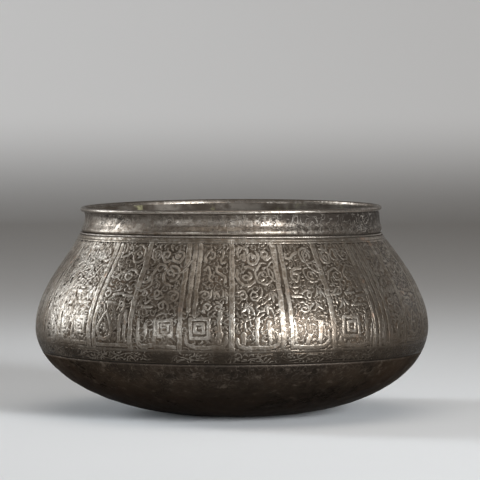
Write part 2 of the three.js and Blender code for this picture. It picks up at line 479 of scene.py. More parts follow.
solder = Finish("tin_solder", (0.375, 0.35, 0.312))
solder.mark(1.0, 0.4, 0.00005)
dull = solder.patches(120.0, 0.5, 0.15, 4.4)
solder.coat((0.188, 0.163, 0.138), dull)
solder.vary("Roughness", 0.42, (dull, 0.2))


def solder_run(name, edge, upwards, leg, seed):
    """A run of solder in the corner between a sheet's edge and the shoulder's inner face. Its section is a
    triangle with one bowed side, and its legs swell and shrink slowly round the bowl."""
    turn = ring_turns(solder_columns)
    swell = 1 + 0.18 * ripples(turn, 0, 16, seed)
    share = np.linspace(0, 1, 7)[:, None]
    climb = np.vstack([[[0.0]], (1 - share) ** 1.6])
    reach = np.vstack([[[0.0]], share**1.6])
    if upwards < 0:
        climb, reach = climb[::-1], reach[::-1]
    radius, height = on_outline(
        edge + upwards * (solder_gap + leg * swell * climb), wall + solder_gap + leg * swell * reach,
    )
    run = new_ring(name, radius, turn, height, [solder])
    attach(run, "root")
    return run


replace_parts(solder_run("girth_solder_run", tongue_end, 1, girth_leg, 21), "girth_solder")

# Engraved shoulder
# The shoulder is a raised copper ring, tinned outside. Its ornament stands as it was in the metal, and the
# ground round it is cut away. It is made as eight equal stretches that meet in the middle of an upright.
stretches = 8
bays = 24
stretch_columns = 258
shoulder_columns = stretches * stretch_columns
foot_margin = 1.2
border_width = 6.4
band_margin = 1.3
top_margin = 3.2
ground_depth = 0.27
ground_slope = 0.5  # how far from a stroke's edge the ground has its full depth
row_height = 0.345
bare_off = 9.0  # the distance to a stroke that a band starts with
stroke_reach = 1.3  # how far from a stroke its distance is worked out
largest_filling = 3.4
upright_room = 4.4
top_lines = ((1.9, 0.3, 0.35), (3.5, 0.2, 0.3))  # how far under the top edge, how deep and how wide
shoulder_foot = girth_seam + lap_gap
shoulder_length = outline_length - shoulder_foot
border_start = foot_margin
border_end = border_start + border_width
field_start = border_end + band_margin
field_end = shoulder_length - top_margin
field_width = field_end - field_start
around = 2 * math.pi * belly_radius
bay = around / bays
hand = np.random.default_rng(7)


def unsure(x, s):
    """Moves a stroke's points by up to half a millimetre, with a whole number of waves round the bowl."""
    turn = x * 2 * math.pi / around
    return (
        x + 0.32 * np.sin(83 * turn + 0.5 * s) + 0.18 * np.sin(137 * turn - 1.1 * s + 2),
        s + 0.32 * np.sin(61 * turn + 0.8 * s + 1) + 0.18 * np.sin(149 * turn - 0.6 * s + 3),
    )


class Engraving:
    """A band of strokes round a piece, as a grid of each place's distance from the edge of the nearest
    stroke, which is negative inside one. x runs round the widest circle and s up the face. Strokes keep
    their real width where the face is narrower."""

    def __init__(self, columns, s_rows, radius):
        self.columns = columns
        self.cell = around / columns
        self.s_rows = s_rows
        self.narrowing = radius / belly_radius
        self.away = np.full((len(s_rows), columns), bare_off, np.float32)

    def lay(self, x, s, half, gap=0.0):
        """Lays a stroke through points x, s with a half width at each. The distance is the least one to its
        straight runs, less the half width there. With a gap it stands clear of the strokes it crosses."""
        x, s, half = (np.asarray(part, float) for part in (x, s, half))
        x, s = unsure(x, s)
        reach = half.max() + gap + stroke_reach
        first = max(np.searchsorted(self.s_rows, s.min() - reach), 0)
        last = min(np.searchsorted(self.s_rows, s.max() + reach) + 1, len(self.s_rows))
        if last <= first:
            return
        narrow = self.narrowing[first:last, None, None]
        wide = reach / narrow.min()
        places = np.arange(int((x.min() - wide) / self.cell) - 1, int((x.max() + wide) / self.cell) + 2)
        run_x, run_s = (x[1:] - x[:-1]) * narrow, s[1:] - s[:-1]
        from_x = ((places * self.cell)[None, :, None] - x[:-1]) * narrow
        from_s = self.s_rows[first:last, None, None] - s[:-1]
        share = np.clip((from_x * run_x + from_s * run_s) / (run_x**2 + run_s**2 + 1e-9), 0, 1)
        off = np.hypot(from_x - share * run_x, from_s - share * run_s)
        new = (off - half[:-1] - share * (half[1:] - half[:-1])).min(axis=2)
        rows, wrapped = np.arange(first, last)[:, None], (places % self.columns)[None, :]
        old = self.away[rows, wrapped]
        if gap:
            old = np.maximum(old, gap - new)
        self.away[rows, wrapped] = np.minimum(old, new)

    def fill(self, low, high, least, sweeps=3, block=24):
        """Finds the barest place of each block of the band again and again, and draws there what fits."""
        first, last = np.searchsorted(self.s_rows, (low, high))
        for top in list(range(first, last, block)) * sweeps:
            for left in range(0, self.columns, block):
                for _ in range(5):
                    part = self.away[top:min(top + block, last), left:left + block]
                    row, column = np.unravel_index(part.argmax(), part.shape)
                    free = min(float(part[row, column]), largest_filling)
                    if free < least:
                        break
                    small_filling(self, (left + column) * self.cell, self.s_rows[top + row], free)


def jitter(most):
    """A random offset of this much at the most, either way."""
    return hand.uniform(-most, most)


def scroll(band, x, s, size, turn_in, turn_out, half, taper, bud, gap=0.4):
    """A flowing stroke: its heading starts anywhere and turns at a rate that changes evenly from turn_in to
    turn_out, in turns, over its length. It thins towards its end, which has a round bud."""
    share = np.linspace(0, 1, 34)
    angle = jitter(math.pi) + 2 * math.pi * (turn_in * share + (turn_out - turn_in) * share**2 / 2)
    px, ps = np.cumsum(np.cos(angle)), np.cumsum(np.sin(angle))
    fit = size / max(np.ptp(px), np.ptp(ps))
    width = half * (1 - (1 - taper) * share) * np.minimum(1, 0.45 + share * 6)
    width = np.maximum(width, bud * np.clip(1 - (1 - share) * 14, 0, 1))
    x, s = x + (px - (px.max() + px.min()) / 2) * fit, s + (ps - (ps.max() + ps.min()) / 2) * fit
    band.lay(x, s, width, gap)


def leaf(band, x, s, length, heading, half, bend=0.12, gap=0.35):
    """A leaf: a short bent stroke, thick in its middle and pointed at both ends."""
    share = np.linspace(0, 1, 9)
    angle = heading + 2 * math.pi * bend * (share - 0.5)
    px, ps = np.cumsum(np.cos(angle)), np.cumsum(np.sin(angle))
    fit = length / np.hypot(px[-1] - px[0], ps[-1] - ps[0])
    width = half * np.sin(math.pi * (0.06 + 0.9 * share)) ** 0.8
    band.lay(x + (px - px.mean()) * fit, s + (ps - ps.mean()) * fit, width, gap)


def upright(band, x, low, high, half, lean, head=1.0):
    """An upright shaft, a little uneven, that thickens towards a slanted head."""
    share = np.linspace(0, 1, 13)
    uneven = 1 + 0.09 * hand.standard_normal(13)
    band.lay(x + lean * share, low + (high - low) * share, half * (0.92 + 0.16 * share) * uneven, gap=0.45)
    band.lay([x + lean, x + lean - 1.5 * head * half], [high - 0.6, high - 1.9], [half * 0.75, 0.12])


def open_loop(band, left, right, low, high_left, high_right, half):
    """A U of one stroke: down one side, round two corners and up the other side."""
    turn = np.linspace(math.pi, 2 * math.pi, 15)
    wide, deep = (right - left) / 2, min((right - left) / 2, 5.0)
    x = (left + right) / 2 + wide * np.sign(np.cos(turn)) * np.abs(np.cos(turn)) ** 0.5
    s = low + deep + deep * np.sign(np.sin(turn)) * np.abs(np.sin(turn)) ** 0.8
    width = half * np.concatenate([[0.8], 1 + 0.35 * np.sin(math.pi * np.linspace(0, 1, 15)), [0.8]])
    band.lay([left, *x, right], [high_left, *s, high_right], width, gap=0.45)


def nested_squares(band, x, s, size, half, turn):
    """A square within a square, with a small one in the middle."""
    corner = np.array([(-1, -1), (1, -1), (1, 1), (-1, 1), (-1, -1)]) / 2
    across = corner @ (math.cos(turn), -math.sin(turn))
    up = corner @ (math.sin(turn), math.cos(turn))
    for side, thick in ((size, half), (size * 0.46, half * 0.85)):
        band.lay(x + side * across, s + side * up, np.full(5, thick), gap=0.4)
    band.lay([x - 0.35, x + 0.35], [s, s], [0.6, 0.6])


def drop(band, x, s, wide, tall, half):
    """A drop: a closed loop with a pointed top, and a leaf inside."""
    turn = np.linspace(0, 2 * math.pi, 30)
    across = wide / 2 * np.sin(turn) * np.sin(turn / 2) ** 1.2 * 1.15
    band.lay(x + across, s + tall / 2 * np.cos(turn), half * (0.65 + 0.5 * np.sin(turn / 2) ** 2), gap=0.4)
    leaf(band, x, s - tall * 0.12, tall * 0.36, math.pi / 2, half * 1.05, 0.0, 0.0)


def spray(band, x, s, size, half):
    """Three leaves that spread from one place."""
    for side in (-1, 0, 1):
        leaf(band, x + side * size * 0.36 + jitter(0.3), s + jitter(0.8), size + jitter(0.8),
             math.pi / 2 + 0.5 * side + jitter(0.2), half, 0.1)


def small_filling(band, x, s, free):
    """A curl, a hook or a leaf as large as the bare place."""
    choice, side = hand.random(), hand.choice([-1, 1])
    if free > 1.9 and choice < 0.25:
        scroll(band, x, s, 2 * free - 0.9, side * 0.5, side * 1.5, 0.36, 0.7, 0.6, 0.0)
    elif free > 1.6 and choice < 0.6:
        scroll(band, x, s, 2 * free - 0.6, side * 0.1, side * 0.9, 0.3, 1.2, 0.75, 0.0)
    else:
        leaf(band, x, s, 2 * free - 0.6, jitter(math.pi), 0.26 + 0.12 * free, jitter(0.6), 0.0)


def upper_scrolls(band, x, wide, s, count):
    """Scrolls side by side between the uprights: wide open loops with a curl or a leaf inside, curls that
    end in a bud, and double curves."""
    for i in range(count):
        place = x + wide * (i + 0.5) / count + jitter(0.9)
        size = min(wide / count * 0.96, 16.0) + jitter(1.2)
        side = hand.choice([-1, 1])
        choice = hand.random()
        half = hand.uniform(0.5, 0.95)
        if choice < 0.45:
            scroll(band, place, s + jitter(1.2), size, side * hand.uniform(0.5, 0.8),
                   side * hand.uniform(1.0, 1.5), half, 0.7, 0.9)
            scroll(band, place + jitter(1), s + jitter(1), size * 0.42, -side * 0.4, -side * 1.7,
                   half * 0.8, 0.6, 0.7, 0.3)
        elif choice < 0.72:
            scroll(band, place, s + jitter(1.2), size * 0.85, side * hand.uniform(0.2, 0.5),
                   side * hand.uniform(1.6, 2.3), half, 0.6, 0.95)
        else:
            scroll(band, place, s + jitter(1.2), size * 1.15, side * 1.5, -side * 1.8, half, 0.75, 0.85)


def lower_figures(band, x, wide, kind):
    """The figures of a bay's lower third, of four kinds."""
    middle = x + wide / 2
    if kind == 0:
        nested_squares(band, middle - 3 + jitter(0.8), 13.5 + jitter(1), 10.4 + jitter(0.8), 1.0,
                       jitter(0.06))
        upright(band, x + wide - 4.2 + jitter(0.5), 3.5, 20 + jitter(3), 1.1, jitter(0.6), 0.8)
        open_loop(band, x + 2.2, x + wide - 0.8, 1.7, 7.0 + jitter(2), 11 + jitter(3), 0.85)
    elif kind == 1:
        drop(band, middle - 2.5 + jitter(0.9), 12.8 + jitter(1), 11.2 + jitter(1), 15.5 + jitter(1), 0.85)
        upright(band, x + wide - 5.4, 3.2, 19.5 + jitter(3), 1.0, jitter(0.5), 0.9)
        upright(band, x + wide - 1.6, 3.2, 18.0 + jitter(3), 0.9, jitter(0.5), 0.9)
        band.lay([x + 1, x + wide], [2.0, 1.8 + jitter(0.3)], [0.85, 1.05], gap=0.4)
    elif kind == 2:
        open_loop(band, x + 2.8, middle + jitter(1), 2.0, 20 + jitter(3), 15 + jitter(3), 1.0)
        nested_squares(band, x + wide * 0.76, 12.0 + jitter(0.8), 8.6 + jitter(0.6), 0.85, jitter(0.06))
        leaf(band, x + wide * 0.3, 11.5, 8, math.pi / 2, 1.0, 0.05)
        band.lay([x + wide * 0.5, x + wide + 0.5], [2.2, 1.7], [0.7, 1.1], gap=0.4)
    else:
        for i in range(3):
            upright(band, x + 4.5 + i * wide / 3.4, 3.4, 14 + jitter(6), 1.1 + jitter(0.25), jitter(0.8), 0.9)
        open_loop(band, x + 1.0, x + wide - 1.0, 1.6, 5.0, 9.0 + jitter(2), 0.9)


def middle_figures(band, x, wide):
    """Sprays, curls and short bars between the scrolls and the lower figures."""
    for i in range(5):
        place, s = x + wide * (0.12 + 0.19 * i) + jitter(1), (32.5 if i % 2 == 0 else 26.0) + jitter(1.5)
        choice = hand.random()
        if choice < 0.4:
            side = hand.choice([-1, 1])
            scroll(band, place, s, 6.4 + jitter(1), side * 0.3, side * 1.9, 0.64, 0.6, 0.85, 0.35)
        elif choice < 0.75:
            spray(band, place, s, 6.0, 0.8)
        else:
            band.lay([place - 3.4, place + 3.4], [s, s + jitter(0.8)], [0.85, 0.7], gap=0.35)
            leaf(band, place, s + 2.8, 4.5, 0.3 + jitter(0.4), 0.7)


def engraved_field():
    """The wide band: scrolls above, sprays between, figures below, tall uprights over them all, and leaves
    and curls wherever the ground is still bare. Gives the distances with and without those fillings."""
    s_rows = np.linspace(0, shoulder_length, round(shoulder_length / row_height) + 1)
    band = Engraving(shoulder_columns, s_rows - field_start, on_outline(shoulder_foot + s_rows, 0)[0])
    top = field_width
    kinds = hand.permutation(np.repeat(np.arange(4), bays // 4))
    for i, kind in enumerate(kinds):
        x = i * bay + upright_room / 2
        close_shafts = (0, 2, 0, 1, 0, 3, 0, 1)[i % 8]
        used = upright_room * close_shafts
        wide = bay - upright_room - used
        upper_scrolls(band, x + used, wide, top - 8.0, 2 if wide < 24 else 3)
        upper_scrolls(band, x + used, wide, top - 20.0, 2)
        middle_figures(band, x + used, wide)
        lower_figures(band, x, bay - upright_room, kind)
        for k in range(close_shafts):
            low = 22 + jitter(2) if kind in (0, 2) else 2.0 + jitter(1)
            high = top - 1.0 - abs(jitter(1.5))
            upright(band, x + 2.4 + 4.3 * k, low, high, 1.25 + jitter(0.15), jitter(0.4), 0.9)
    for i in range(bays):
        if i % (bays // stretches) == 0:
            band.lay([i * bay] * 13, np.linspace(-2, top + 2, 13), np.full(13, 1.55), gap=0.45)
        else:
            upright(band, i * bay + jitter(0.7), 1.0 + jitter(0.8), top - 0.6, 1.55 + jitter(0.15),
                    jitter(0.7))
            side = hand.choice([-1, 1])
            scroll(band, i * bay + 4 * side, hand.uniform(0.4, 0.9) * top, hand.uniform(10, 14),
                   side * 0.1, side * 0.7, 0.6, 0.6, 0.8, 0.3)
    main = band.away.copy()
    band.fill(0.4, top - 0.4, 1.1)
    return s_rows, band.away, main


s_rows, away, main = engraved_field()


def winding_stem(band, bends, middle, tall, uneven, half):
    """A stem that winds round the bowl in uneven bends, each half a wave of a sine. Once a bend is laid, it
    yields the places x along it and its side, 1 or -1."""
    share = np.linspace(0, 1, 12)
    for i in range(bends):
        x = (i + share) * around / bends
        side = 1 if i % 2 == 0 else -1
        band.lay(x, middle + side * (tall + jitter(uneven)) * np.sin(math.pi * share), np.full(12, half))
        yield x, side


def border_leaves():
    """The narrow border: a thin stem that winds round it with uneven bends, slanted and lying leaves on it,
    and small leaves between."""
    border = Engraving(shoulder_columns, s_rows - border_start, on_outline(shoulder_foot + s_rows, 0)[0])
    for x, _ in winding_stem(border, 52, border_width / 2, 1.7, 0.5, 0.3):
        for _ in range(3):
            slant = hand.choice([0.15, 0.75, 2.4, 2.95]) + jitter(0.35)
            leaf(border, hand.uniform(x[0], x[-1]), border_width / 2 + jitter(1.7), 3.6 + jitter(1.2),
                 slant, 0.42 + jitter(0.12), jitter(0.25), 0.2)
    border.fill(0.6, border_width - 0.6, 1.0, sweeps=1, block=12)
    return border.away


turn = ring_turns(shoulder_columns)
along = shoulder_foot + s_rows[:, None]
in_border = (s_rows > border_start) & (s_rows < border_end)
away[in_border] = main[in_border] = border_leaves()[in_border]
small = smooth(-0.2, 0.3, main)
ragged = 0.28 * ripples(turn, along, 2.9, 31) + 0.16 * ripples(turn, along, 1.5, 32)
away += ragged * (0.4 + 0.6 * small)
edges = np.array([border_start, border_end, field_start, field_end])
in_gap = (s_rows > border_end) & (s_rows < field_start)
margin_side = np.where((s_rows < border_start) | in_gap | (s_rows > field_end), -1, 1)
to_margin = np.abs(s_rows[:, None] - edges).min(axis=1) * margin_side
away[:] = np.minimum(away, to_margin[:, None])

# Worn tin: brown and mottled on the wide faces, bright along the strokes' edges, dark in the cut ground, and
# darker towards the foot, with painted shade on the lower belly and the right side, and painted light that
# makes the left side and the right rim paler. A few spots show bare copper.
tin = Finish("worn_tin", (0.35, 0.309, 0.262), rim=0.48, glint=0.12)
tin.mark(1.0, 1.0, 0.00005)
cuts_and_shade, edge, brown_and_side_shade = (tin.stored(name) for name in ("cuts_and_shade", "edge", "brown_and_side_shade"))
mottle = tin.patches(380.0, 0.5, 0.11, 2.0)
browning = tin.patches(34.0, 0.53, 0.13, 9.0)
bare = tin.patches(90.0, 0.66, 0.05, 6.0)
specks = tin.patches(800.0, 0.64, 0.05, 1.0)
footward = tin.below(0.0425, 0.0485, 0.004)
# Painted shade on the lower belly.
shaded = tin.below(0.045, 0.062, 0.012)
# Dirt in the cut ground and specks. On the shoulder it is paler on the left side and at the right rim, as
# painted light.
dirt_and_shade = tin.total(cuts_and_shade, (specks, 0.5), clamp=True)
kept = tin.product(edge, tin.total(0.9, (brown_and_side_shade, -0.6)))
tin.coat((0.145, 0.115, 0.087), mottle)
tin.coat((0.41, 0.37, 0.32), edge, 0.5)
tin.coat((0.125, 0.0925, 0.065), browning, 0.5)
# Real browning, and painted shade on the bowl's right side.
tin.coat((0.0875, 0.0663, 0.0488), brown_and_side_shade, 0.64)
tin.coat((0.375, 0.231, 0.156), bare, 0.5)
tin.coat((0.056, 0.0425, 0.031), shaded, 0.55)
tin.coat((0.0575, 0.0438, 0.0319), dirt_and_shade)
tin.coat((0.0225, 0.017, 0.0125), footward, tin.total(0.95, (kept, -1.0)))
tin.vary("Roughness", 0.37, (mottle, 0.10), (dirt_and_shade, -0.14))
tin.vary("Metallic", 1.0, (dirt_and_shade, -0.4))

top_side = shoulder_length - s_rows[:, None]
wear = smooth(0.1, 1.0, ripples(turn, along, 34, 6) + 0.35 * ripples(turn, along, 9, 5))
# Painted light: the right rim and the left side are made paler where the lamps fall on them. The left side's
# relief is also worn flatter.
right_rim_light = smooth(0.6, 0.85, np.cos(turn))
wear_and_left_light = smooth(0.5, 0.9, -np.cos(turn))
relief = ground_depth * (1 - 0.6 * np.maximum(wear, wear_and_left_light)) * smooth(-0.1, ground_slope, away)
relief += 0.05 * smooth(-0.35, 0.05, away)
relief += 0.05 * ripples(turn, along, 17, 3) + 0.022 * ripples(turn, along, 4.5, 4)
for lower, deep, wide in top_lines:
    relief += deep * np.exp(-((top_side - lower) / wide) ** 2)
relief += edge_round * (1 - smooth(0, edge_round * 2, s_rows[:, None]))
rubbed_rows = np.where(in_gap, 0.9, np.where(margin_side < 0, 0.3, 1.0))[:, None]
dark = smooth(-0.14, 0.12, away) * (1 - np.maximum((0.35 + 0.5 * right_rim_light) * wear, 0.6 * wear_and_left_light))
bright = smooth(-0.75, -0.25, away) * (1 - dark) * rubbed_rows * (1 - 0.7 * wear) * (1 - 0.3 * small)
dark = np.maximum(dark, 0.48 * small * (1 - 0.6 * wear_and_left_light))
# Painted shade: the right side is browner. These values also hold real browning where the tin is worn.
right_side_shade = smooth(0.15, 0.85, np.cos(turn)) - 0.4 * smooth(0.8, 0.96, np.cos(turn))
brown_and_side_shade = np.clip(0.75 * wear * (1 - right_rim_light) + 0.75 * right_side_shade, 0, 1)
inner_s = np.concatenate([
    [shoulder_length - edge_round], np.linspace(shoulder_length - 3, 3, 12), [edge_round],
])
end_rows = len(s_rows)
map_face_top = 0.8
map_inner_face = (0.82, 0.96)
map_end_wide, map_end_tall, map_top = 0.45, 0.015, 0.995


def give_map(piece, places):
    """Stores a piece's map for baked pictures: two numbers between 0 and 1 for each corner of each face."""
    piece.data.uv_layers.new(name="OFBake").data.foreach_set("uv", places.astype(np.float32).ravel())


def shoulder_stretch(number):
    """One stretch: rows of vertices up the engraved face and down the inner face, closed at both ends by a
    flat face of many corners. Its map for baked pictures has the engraved face as one rectangle, the inner
    face as a lower one over it, and the two ends in a row over both."""
    column = np.arange(number * stretch_columns, (number + 1) * stretch_columns + 1)
    wrapped = column % shoulder_columns
    turn = column * 2 * math.pi / shoulder_columns
    inner_along = shoulder_foot + inner_s[:, None]
    inner = wall + 0.05 * ripples(turn[None, :], inner_along, 17, 3)
    radius, height = on_outline(np.vstack([along, inner_along]), np.vstack([relief[:, wrapped], inner]))
    grid = by_hand(radius, turn[None, :], height)
    rows, columns = grid.shape[:2]
    sides = ring_faces(rows, columns, closed_columns=False)
    first_cap = (np.arange(rows) * columns)[::-1][None, :]
    last_cap = (np.arange(rows) * columns + columns - 1)[None, :]
    of_row = np.concatenate([np.repeat(np.arange(rows), columns - 1), [0, 0]])
    stretch = new_piece(
        f"engraved_shoulder_{number + 1}", grid, [sides, first_cap, last_cap],
        [tin, inside], (of_row >= end_rows) & (of_row < rows - 1),
    )
    flat = np.zeros(len(of_row), bool)
    flat[-2:] = True
    stretch.data.attributes.new("sharp_face", "BOOLEAN", "FACE").data.foreach_set("value", flat)
    lines = np.concatenate([
        np.linspace(0, map_face_top, end_rows), np.linspace(*map_inner_face, rows - end_rows + 1),
    ])
    row, place = np.indices((rows, columns - 1))
    across = np.stack([place, place + 1, place + 1, place], axis=-1) / (columns - 1)
    side_map = np.stack([across, lines[np.stack([row, row, row + 1, row + 1], axis=-1)]], axis=-1)
    end_across = np.concatenate([s_rows, inner_s]) / shoulder_length * map_end_wide
    end_maps = []
    for start, at in ((0.0, 0), (0.5, -1)):
        inset = np.append(relief[:, wrapped[at]], np.full(len(inner_s), wall))
        end_maps.append(np.stack([start + end_across, map_top - map_end_tall * inset / wall], axis=-1))
    give_map(stretch, np.vstack([side_map.reshape(-1, 2), end_maps[0][::-1], end_maps[1]]))
    for name, values in (("cuts_and_shade", dark), ("edge", bright), ("brown_and_side_shade", brown_and_side_shade)):
        set_values(stretch, name, np.vstack([values[:, wrapped], np.zeros((rows - end_rows, columns))]))
    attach(stretch, "root")
    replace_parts(stretch, "shoulder_wall")


for number in range(stretches):
    shoulder_stretch(number)

# Black fillings
# Both engraved bands are filled with a black composition of resin and soot. It has sunk a little under the
# metal's face, and it has worn through to the ground in places.
filling_sink = 0.16
filling_base = 0.6
filling_edge = 0.3  # how far its edges stay inside the cut ground's
filling_columns = shoulder_columns // 2

black = Finish("black_composition", (0.0325, 0.0244, 0.0175), rim=0.15, metallic=0.6, glint=0.12)
black.mark(1.5, 0.3, 0.00008)
dust = black.patches(260.0, 0.5, 0.2, 8.0)
rusty = black.patches(80.0, 0.6, 0.08, 5.0)
footward = black.below(0.0425, 0.0485, 0.004)
black.coat((0.075, 0.0575, 0.0425), dust)
black.coat((0.1, 0.0663, 0.0425), rusty, 0.5)
black.coat((0.02, 0.015, 0.011), footward, 0.7)
black.vary("Roughness", 0.24, (dust, 0.12))


def filling_ring(name, start, end, node):
    """A ring under a band: its outer face lies a little under the metal's face and waves, and its inner
    face lies in the metal under the ground."""
    rows = round(end - start) + 1
    low, high = start + filling_edge, end - filling_edge
    s = np.concatenate([np.linspace(low, high, rows), np.linspace(high, low, 5)])
    outer = (np.arange(len(s)) < rows)[:, None]
    turn = ring_turns(filling_columns)
    waves = 0.05 * ripples(turn, s[:, None], 17, 3) + 0.05 * ripples(turn, s[:, None], 6, 8)
    hollow = 0.3 * smooth(0.9, 1.6, ripples(turn, s[:, None], 26, 9))
    inset = np.where(outer, filling_sink + waves + hollow, filling_base + hollow)
    radius, height = on_outline(shoulder_foot + s[:, None], inset)
    ring = new_ring(name, radius, turn, height, [black])
    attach(ring, "root")
    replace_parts(ring, node)


filling_ring("field_black", field_start, field_end, "field_filling")
filling_ring("border_black", border_start, border_end, "border_filling")

# Neck and lip
# The neck is a ring of thinner sheet, lapped and soldered inside the shoulder's top edge. It flares over
# the seam's moulding, draws in to a waist and is rolled over a wire. A shallow vine is engraved round it.
collar_sheet = 0.7
neck_lap = 6
waist_step = 2.1
waist_rise = 7.3
waist_ease = 1.7  # how far under the waist the neck is upright already
moulding_radius = 0.8
moulding_wrap = math.radians(78)  # how far round the moulding's back the neck lies
flare = 2.9  # how far it then holds its outward heading
wire_radius = 0.5
wire_seat = 0.2
lip_slit = 0.35
neck_columns = 1040
vine_depth = 0.1
vine_place = 0.52  # how far up the neck's face its stem runs
front_hollow = 0.75  # how much hollower the waist is in front and behind

roll_inside = wire_radius + wire_seat
roll_outside = roll_inside + collar_sheet
waist = np.array([neck_seam_radius - waist_step, neck_seam_height + waist_rise])
neck_start = np.array(on_outline(outline_length, tongue_inset))
lip_centre = np.array([waist[0] + roll_inside, lip_height - roll_outside])
seam_way = np.array([-outline[4][-1], outline[3][-1]])
seam_out = np.array([outline[3][-1], outline[4][-1]])
moulding_seat = moulding_radius + wire_seat
moulding_centre = neck_start + moulding_seat * (seam_way + seam_out)


def neck_line(inset, count):
    """The neck's outer face from the seam to the roll, set in by an inset. It lies round the back of the
    moulding on a circle, flares over it and draws in to the waist on a cubic Bezier curve, and climbs
    straight."""
    first = math.atan2(-seam_out[1], -seam_out[0])
    angle = np.linspace(first, first - moulding_wrap, 40)
    wrap = moulding_centre[:, None] + moulding_seat * np.stack([np.cos(angle), np.sin(angle)])
    heading = np.array([math.sin(angle[-1]), -math.cos(angle[-1])])
    corners = [wrap[:, -1], wrap[:, -1] + heading * flare, waist - (0, waist_ease), waist]
    drawn_in = bezier(corners, np.linspace(0, 1, 200)[1:])
    radius, height = np.hstack([neck_start[:, None], wrap, drawn_in, [[waist[0]], [lip_centre[1]]]])
    length = line_length(radius, height)
    along = np.linspace(0, length[-1], count)
    radius, height = np.interp(along, length, radius), np.interp(along, length, height)
    normal_out, normal_up = line_normal(radius, height, along)
    return radius - inset * normal_out, height - inset * normal_up, along


def roll_line(size, count):
    """The roll round the wire, from its slit under the wire back over the top."""
    last = -math.pi / 2 - math.asin((roll_inside - lip_slit) / roll_outside)
    angle = np.linspace(last, math.pi, count)
    return lip_centre[0] + size * np.cos(angle), lip_centre[1] + size * np.sin(angle)


def neck_vine(along, radius):
    """Shallow engraving in an uneven hand: a stem that winds round the waist, with a curl in each bend and
    small leaves beside it."""
    vine = Engraving(neck_columns, along, radius)
    middle = along[-1] * vine_place
    for x, side in winding_stem(vine, 62, middle, 2.2, 0.8, 0.14):
        scroll(vine, x.mean() + jitter(1), middle + jitter(0.9), 3.4 + jitter(1), side * 0.4, side * 1.5,
               0.13, 0.8, 0.3, 0.0)
        for _ in range(2):
            leaf(vine, hand.uniform(x[0], x[-1]), middle + hand.choice([-1, 1]) * (3.3 + jitter(0.9)),
                 2.3 + jitter(0.8), jitter(math.pi), 0.3, 0.1, 0.0)
    return vine.away


lap = np.linspace(outline_length - neck_lap, outline_length, 4)[:-1]
*face, face_along = neck_line(0, 44)
*inner, _ = neck_line(collar_sheet, 18)
neck_parts = [
    on_outline(lap, tongue_inset), face, np.flip(roll_line(roll_inside, 7), axis=1)[:, 1:],
    roll_line(roll_outside, 20), np.flip(inner, axis=1)[:, 1:],
    on_outline(lap[::-1], tongue_inset + collar_sheet),
]
neck_radius, neck_height = np.hstack(neck_parts)
first_rows = np.cumsum([0] + [len(part[0]) for part in neck_parts])
face_rows = slice(first_rows[1], first_rows[2])
roll_first, roll_last = first_rows[3:5]
turn = ring_turns(neck_columns)
vine_away = neck_vine(face_along, face[0])
shrink = np.zeros((len(neck_radius), neck_columns))
cuts = 1 - smooth(-0.15, 0.4, vine_away)
clear = smooth(2.5, 4.5, face_along) * (1 - smooth(face_along[-1] - 1.5, face_along[-1], face_along))
clear = clear[:, None]
worn_away = np.clip(0.55 + 0.6 * ripples(turn, 0, 50, 14), 0.05, 1)
shrink[face_rows] = vine_depth * cuts * clear * worn_away
high = neck_height[:, None]
uneven = 0.09 * ripples(turn, high, 22, 15) + 0.03 * ripples(turn, high, 6, 16)
uneven = uneven * smooth(neck_seam_height + 2, neck_seam_height + 5, high)
at_waist = smooth(109.5, 113, high) * (1 - smooth(119.5, 122.5, high))
uneven = uneven + at_waist * (0.5 * np.cos(turn) + 0.5 * smooth(0.5, 0.95, np.cos(turn)))
hollow = smooth(110.5, 118, high) * (1 - smooth(118.5, 122.8, high))
uneven[roll_first:roll_last] += 0.04 * ripples(turn, high[roll_first:roll_last], 4.2, 17)
uneven = uneven - front_hollow * hollow * (1 - 0.8 * smooth(0.5, 0.95, np.abs(np.cos(turn))))

# Neck tin: as on the shoulder, darker in the corner over the moulding, with painted shade under the lip and
# on the neck's right side, and painted light on the lip's front with painted shade on its back.
neck_tin = Finish("neck_tin", (0.275, 0.236, 0.196), rim=0.5)
neck_tin.mark(1.0, 1.2, 0.00005)
cuts_and_shade, edge, band = (neck_tin.stored(name) for name in ("cuts_and_shade", "edge", "band"))
mottle = neck_tin.patches(300.0, 0.52, 0.12, 12.0)
browning = neck_tin.patches(40.0, 0.5, 0.14, 19.0)
specks = neck_tin.patches(700.0, 0.62, 0.05, 11.0)
light_lines = neck_tin.traces(210.0, 0.04, 6.5)
dark_lines = neck_tin.product(neck_tin.traces(250.0, 0.04, 9.1), band)
dirt_and_shade = neck_tin.total(0.0, (cuts_and_shade, 0.7), (specks, 0.45), (dark_lines, 0.8), clamp=True)
neck_tin.coat((0.13, 0.102, 0.078), mottle)
neck_tin.coat((0.106, 0.0788, 0.0575), browning, 0.55)
# Lighter on the rubbed moulding, and painted light on the lip's front.
neck_tin.coat((0.375, 0.338, 0.3), edge, 0.8)
neck_tin.coat((0.0287, 0.0219, 0.0169), dirt_and_shade)
neck_tin.coat((0.32, 0.283, 0.24), light_lines, band, 0.75)
neck_tin.vary("Roughness", 0.29, (mottle, 0.12), (dirt_and_shade, 0.25))
neck_tin.vary("Metallic", 1.0, (dirt_and_shade, -0.25))

of_row = np.repeat(np.arange(len(neck_radius)), neck_columns)
neck_radius = neck_radius[:, None] - shrink + uneven
neck = new_ring("neck_and_lip", neck_radius, turn, high, [neck_tin, inside], of_row >= roll_last)
dark, bright, lined = np.zeros((3, len(neck_radius), neck_columns))
# The engraved vine, and painted shade on the neck's right side.
dark[face_rows] = cuts * clear * worn_away + smooth(0.2, 0.5, np.cos(turn))
up_face = face_along[:, None]
